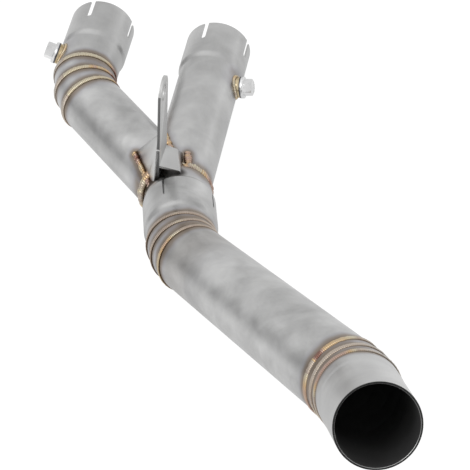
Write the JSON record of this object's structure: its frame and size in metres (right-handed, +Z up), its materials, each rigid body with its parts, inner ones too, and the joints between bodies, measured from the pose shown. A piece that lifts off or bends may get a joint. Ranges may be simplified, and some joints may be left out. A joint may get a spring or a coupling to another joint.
{
  "type": "exhaust mid pipe",
  "caption": "Exhaust mid pipe in welded stainless tube: slotted inlet sockets merge through a collector and slip joint into a tapered pipe with a plain outlet and a folded hanger.",
  "frame": {"origin": "centre of the bounding box, on the floor the pipe lies on", "axes": "+Y along both inlet sockets, out of their mouths; +Z up with the pipe lying at rest; the outlet leaves towards -Y and +X"},
  "size_m": [0.3746, 0.5402, 0.1345],
  "materials": {
    "tube": "satin brushed stainless",
    "weld": "heat-tinted weld bead",
    "bracket": "satin sheet",
    "boss": "turned, lightly tinted",
    "washer": "plain",
    "plug": "bright zinc"
  },
  "bodies": {
    "root": {"right_branch_tube": "tube", "left_inlet_tube": "tube", "left_bend_segment_1": "tube", "left_bend_segment_2": "tube", "left_branch_tube": "tube", "merge_collector": "tube", "slip_socket_tube": "tube", "slip_bend_segment_1": "tube", "slip_bend_segment_2": "tube", "main_pipe": "tube", "outlet_bend_segment_1": "tube", "outlet_bend_segment_2": "tube", "outlet_tube": "tube", "left_bend_weld_1": "weld", "left_bend_weld_2": "weld", "left_bend_weld_3": "weld", "slip_bend_weld_1": "weld", "slip_bend_weld_2": "weld", "slip_bend_weld_3": "weld", "outlet_bend_weld_1": "weld", "outlet_bend_weld_2": "weld", "outlet_bend_weld_3": "weld", "right_seam_weld": "weld", "left_seam_weld": "weld", "crotch_weld": "weld", "left_wing_weld": "weld", "right_wing_weld": "weld", "right_boss_weld": "weld", "left_boss_weld": "weld", "hanger_bracket": "bracket", "right_sensor_boss": "boss", "left_sensor_boss": "boss", "right_sealing_washer": "washer", "left_sealing_washer": "washer", "right_port_plug": "plug", "left_port_plug": "plug"}
  },
  "joints": []
}
